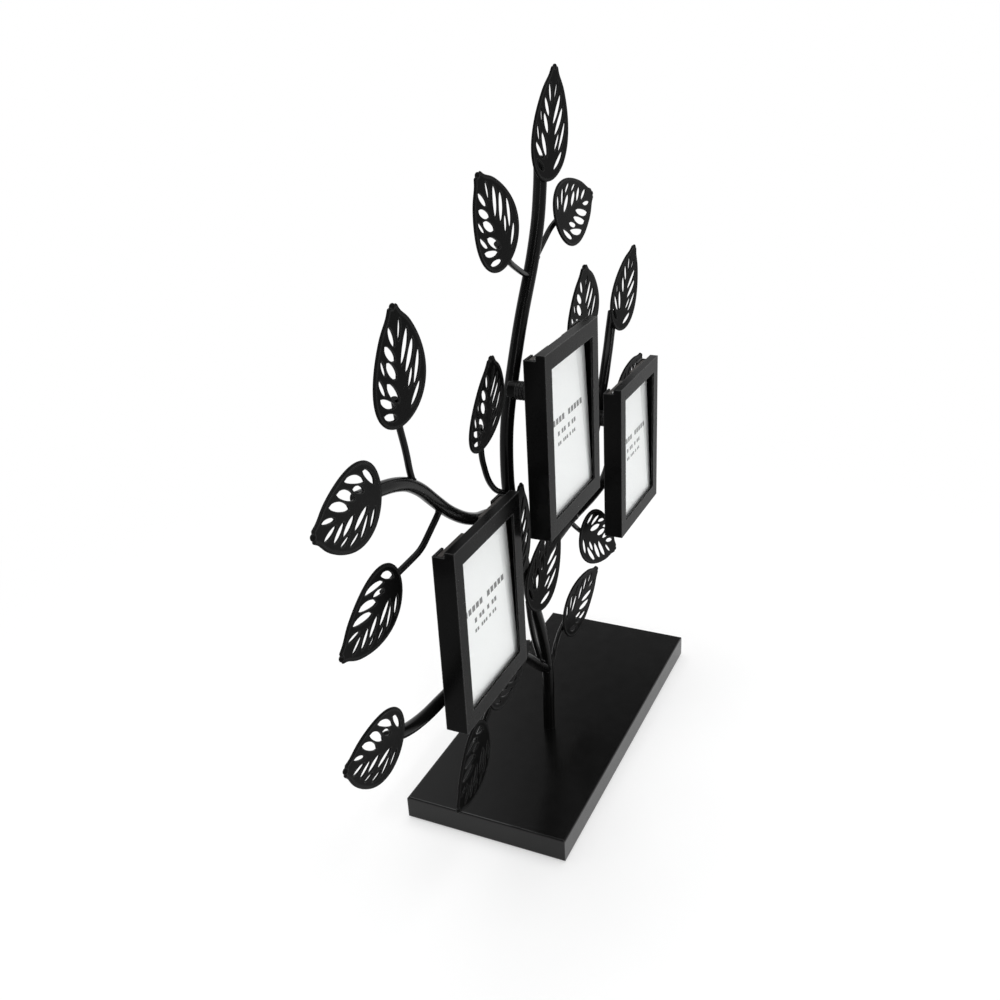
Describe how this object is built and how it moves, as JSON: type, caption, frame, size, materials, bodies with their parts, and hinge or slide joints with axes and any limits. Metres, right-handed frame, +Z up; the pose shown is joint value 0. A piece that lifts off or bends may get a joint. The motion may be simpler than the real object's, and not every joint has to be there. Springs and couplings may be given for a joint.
{
  "type": "photo tree stand",
  "caption": "Black metal photo tree on a folded steel tray: bent branches, pierced leaves and small photo frames whose glass and card slide out at the top.",
  "frame": {"origin": "under the middle of the whole stand's length and depth, on the table", "axes": "+Z up, -Y the way the frames and leaves face, +X along the tray's long side"},
  "size_m": [0.327, 0.08, 0.3264],
  "materials": {
    "black_powder_coat": "satin",
    "steel_fastener": "satin",
    "foot_pads": "matte",
    "cover_glass": "gloss",
    "photo_card": "satin paper",
    "backing_board": "black-faced hardboard"
  },
  "bodies": {
    "stand": {"base_tray": "black_powder_coat", "foot_pad_1": "foot_pads", "foot_pad_2": "foot_pads", "foot_pad_3": "foot_pads", "foot_pad_4": "foot_pads", "frame_1_shell": "black_powder_coat", "frame_1_standoff": "black_powder_coat", "frame_1_strap": "black_powder_coat", "frame_2_shell": "black_powder_coat", "frame_2_standoff": "black_powder_coat", "frame_2_strap": "black_powder_coat", "frame_3_shell": "black_powder_coat", "frame_3_standoff": "black_powder_coat", "frame_3_strap": "black_powder_coat", "leaf_01": "black_powder_coat", "leaf_02": "black_powder_coat", "leaf_03": "black_powder_coat", "leaf_04": "black_powder_coat", "leaf_05": "black_powder_coat", "leaf_06": "black_powder_coat", "leaf_07": "black_powder_coat", "leaf_08": "black_powder_coat", "leaf_09": "black_powder_coat", "leaf_10": "black_powder_coat", "leaf_11": "black_powder_coat", "leaf_12": "black_powder_coat", "leaf_13": "black_powder_coat", "leaf_14": "black_powder_coat", "leaf_15": "black_powder_coat", "leaf_16": "black_powder_coat", "leaf_17": "black_powder_coat", "lower_left_branch": "black_powder_coat", "lower_right_branch": "black_powder_coat", "middle_left_branch": "black_powder_coat", "trunk": "black_powder_coat", "trunk_screw": "steel_fastener", "trunk_washer": "steel_fastener", "twig_02": "black_powder_coat", "twig_03": "black_powder_coat", "twig_04": "black_powder_coat", "twig_06": "black_powder_coat", "twig_08": "black_powder_coat", "twig_09": "black_powder_coat", "twig_12": "black_powder_coat", "twig_13": "black_powder_coat", "twig_14": "black_powder_coat", "twig_15": "black_powder_coat", "twig_16": "black_powder_coat", "twig_17": "black_powder_coat", "upper_left_branch": "black_powder_coat", "upper_right_branch": "black_powder_coat"},
    "insert_1": {"frame_1_backing": "backing_board", "frame_1_glass": "cover_glass", "frame_1_photo_card": "photo_card"},
    "insert_2": {"frame_2_backing": "backing_board", "frame_2_glass": "cover_glass", "frame_2_photo_card": "photo_card"},
    "insert_3": {"frame_3_backing": "backing_board", "frame_3_glass": "cover_glass", "frame_3_photo_card": "photo_card"}
  },
  "joints": [
    {"name": "insert_slide_1", "type": "slide", "parent": "stand", "child": "insert_1", "axis": [0, 0.041, 0.9992], "range_m": [0, 0.028]},
    {"name": "insert_slide_2", "type": "slide", "parent": "stand", "child": "insert_2", "axis": [0, 0.041, 0.9992], "range_m": [0, 0.08]},
    {"name": "insert_slide_3", "type": "slide", "parent": "stand", "child": "insert_3", "axis": [0, 0.041, 0.9992], "range_m": [0, 0.08]}
  ]
}
